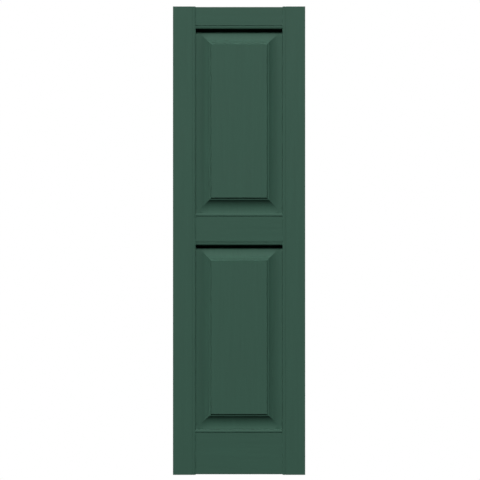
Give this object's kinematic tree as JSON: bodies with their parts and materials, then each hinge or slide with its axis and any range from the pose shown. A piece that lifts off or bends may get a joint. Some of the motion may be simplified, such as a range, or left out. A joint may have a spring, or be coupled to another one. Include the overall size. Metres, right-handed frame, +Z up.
{
  "type": "raised panel shutter",
  "caption": "Exterior window shutter leaf: a stile and rail frame with quirked ovolo edges holds raised panels with stepped and coved borders, and fixes flat to a wall.",
  "frame": {"origin": "middle of the shutter's wall face, on the back of the middle rail", "axes": "+X to the right seen from the front, +Y from the front towards the wall, +Z up"},
  "size_m": [0.368, 0.032, 1.303],
  "materials": {
    "green_paint": "satin dark green paint over smooth boards"
  },
  "bodies": {
    "root": {"left_stile": "green_paint", "right_stile": "green_paint", "top_rail": "green_paint", "middle_rail": "green_paint", "bottom_rail": "green_paint", "upper_panel": "green_paint", "lower_panel": "green_paint"}
  },
  "joints": []
}
